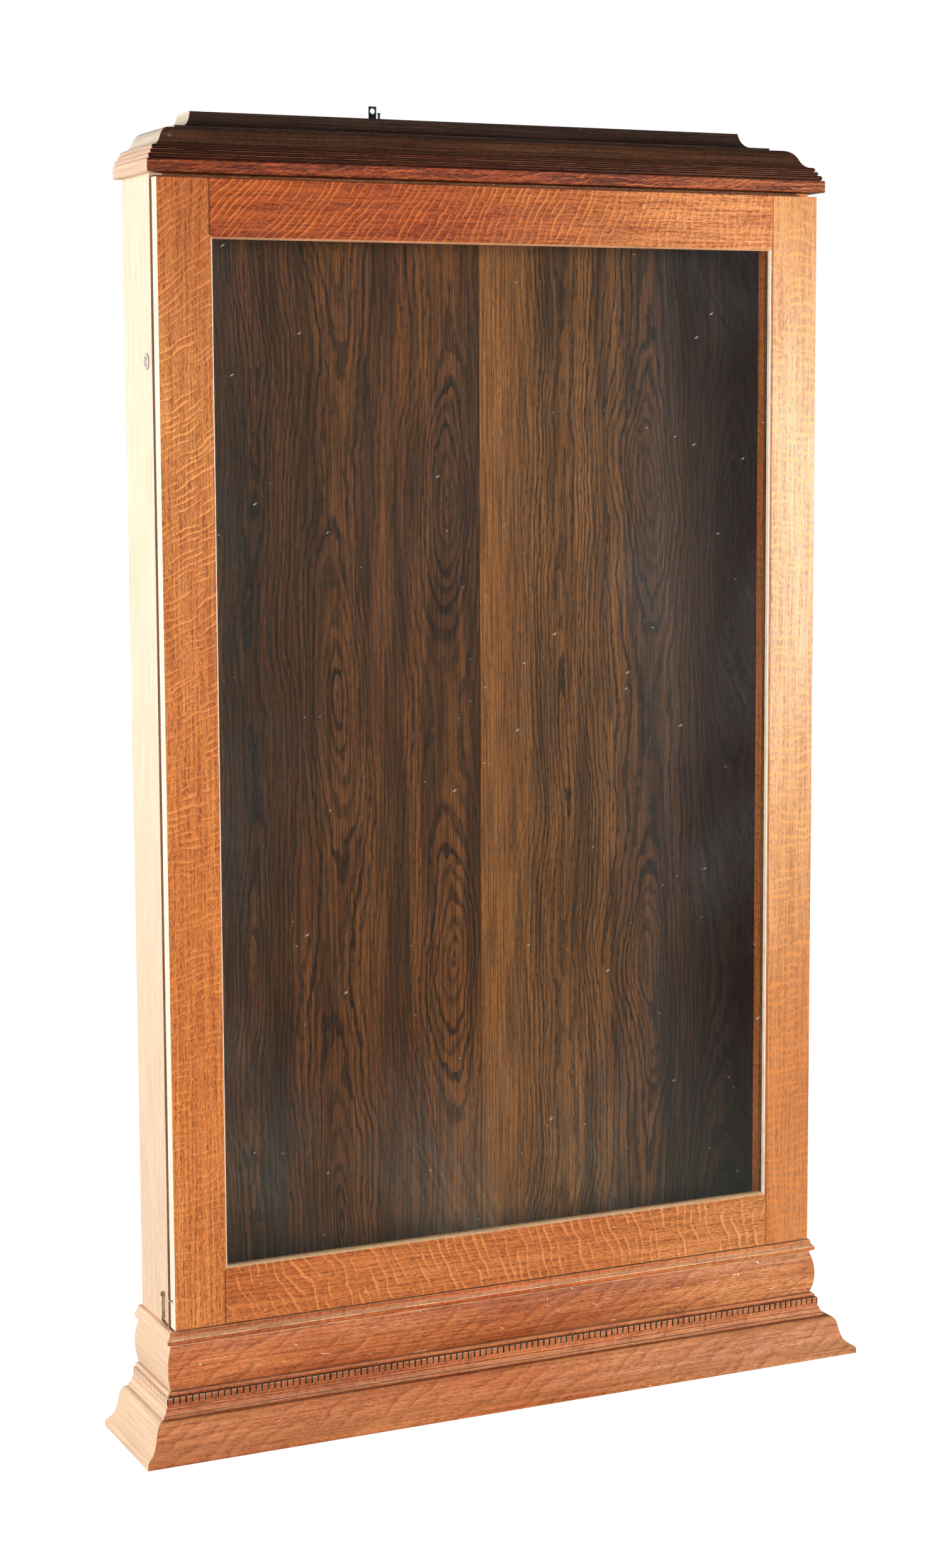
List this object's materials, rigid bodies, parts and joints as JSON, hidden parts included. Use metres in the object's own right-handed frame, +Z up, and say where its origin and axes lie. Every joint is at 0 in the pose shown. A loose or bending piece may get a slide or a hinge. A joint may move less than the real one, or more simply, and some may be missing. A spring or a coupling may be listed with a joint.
{
  "type": "wall mounted showcase",
  "caption": "Shallow glazed oak wall case: hinged glass door with cam lock and swing hook, stepped receding cornice, dentilled flared base.",
  "frame": {"origin": "centre of the bounding box in plan, on the underside of the base", "axes": "+X to the right of a person facing the door, +Y towards the wall, +Z up"},
  "size_m": [1.1158, 0.1883, 1.8292],
  "materials": {
    "oak": "aged varnish, satin, quarter-sawn oak",
    "crown_wood": "dark aged varnish",
    "stop_wood": "dark red-brown varnish",
    "dark_wood": "dark stained oak boards",
    "glass": "old float glass, dusty",
    "brass": "tarnished brass",
    "steel": "plain zinc-plated steel",
    "black_steel": "black japanned steel"
  },
  "bodies": {
    "case": {"back_board_left": "dark_wood", "back_board_right": "dark_wood", "base_front_board": "oak", "base_plinth_front": "oak", "base_plinth_left": "oak", "base_plinth_right": "oak", "bed_moulding_front": "oak", "bed_moulding_left": "oak", "bed_moulding_right": "oak", "carcase_bottom": "oak", "carcase_top": "oak", "cornice_fascia_front": "oak", "cornice_fascia_left": "oak", "cornice_fascia_right": "oak", "cornice_top_board": "crown_wood", "crown_lower_front": "crown_wood", "crown_lower_left": "crown_wood", "crown_lower_right": "crown_wood", "crown_upper_front": "crown_wood", "crown_upper_left": "crown_wood", "crown_upper_right": "crown_wood", "dentil_moulding_front": "oak", "dentil_moulding_left": "oak", "dentil_moulding_right": "oak", "door_stop_bottom": "stop_wood", "door_stop_left": "stop_wood", "door_stop_right": "stop_wood", "door_stop_top": "stop_wood", "frieze_front": "oak", "frieze_left": "oak", "frieze_right": "oak", "hanger_screws": "steel", "hanger_strap": "black_steel", "hinge_case_leaves": "brass", "hinge_case_screws": "brass", "hinge_pins": "brass", "latch_pivot_screw": "brass", "lock_barrel": "brass", "lock_nut": "steel", "side_panel_left": "oak", "side_panel_right": "oak"},
    "door": {"door_glass": "glass", "door_rail_bottom": "oak", "door_rail_top": "oak", "door_stile_left": "oak", "door_stile_right": "oak", "glazing_bead_bottom": "oak", "glazing_bead_left": "oak", "glazing_bead_right": "oak", "glazing_bead_top": "oak", "hinge_door_leaves": "brass", "hinge_door_screws": "brass", "latch_stud": "brass", "lock_keeper": "steel", "lock_keeper_screws": "steel"},
    "lock_core": {"lock_plug": "brass", "lock_wafers": "brass", "lock_cam": "steel", "lock_cam_screw": "steel"},
    "hook": {"latch_hook": "brass"}
  },
  "joints": [
    {"name": "door_hinge", "type": "hinge", "parent": "case", "child": "door", "pos_m": [0.5034, -0.0287, 0.9417], "axis": [0, 0, 1], "range_deg": [0, 180]},
    {"name": "lock_turn", "type": "hinge", "parent": "case", "child": "lock_core", "pos_m": [-0.49, 0.00315, 1.4752], "axis": [-1, 0, 0], "range_deg": [0, 90]},
    {"name": "hook_swing", "type": "hinge", "parent": "case", "child": "hook", "pos_m": [-0.502, -0.00185, 0.2112], "axis": [-1, 0, 0], "range_deg": [0, 89]}
  ]
}
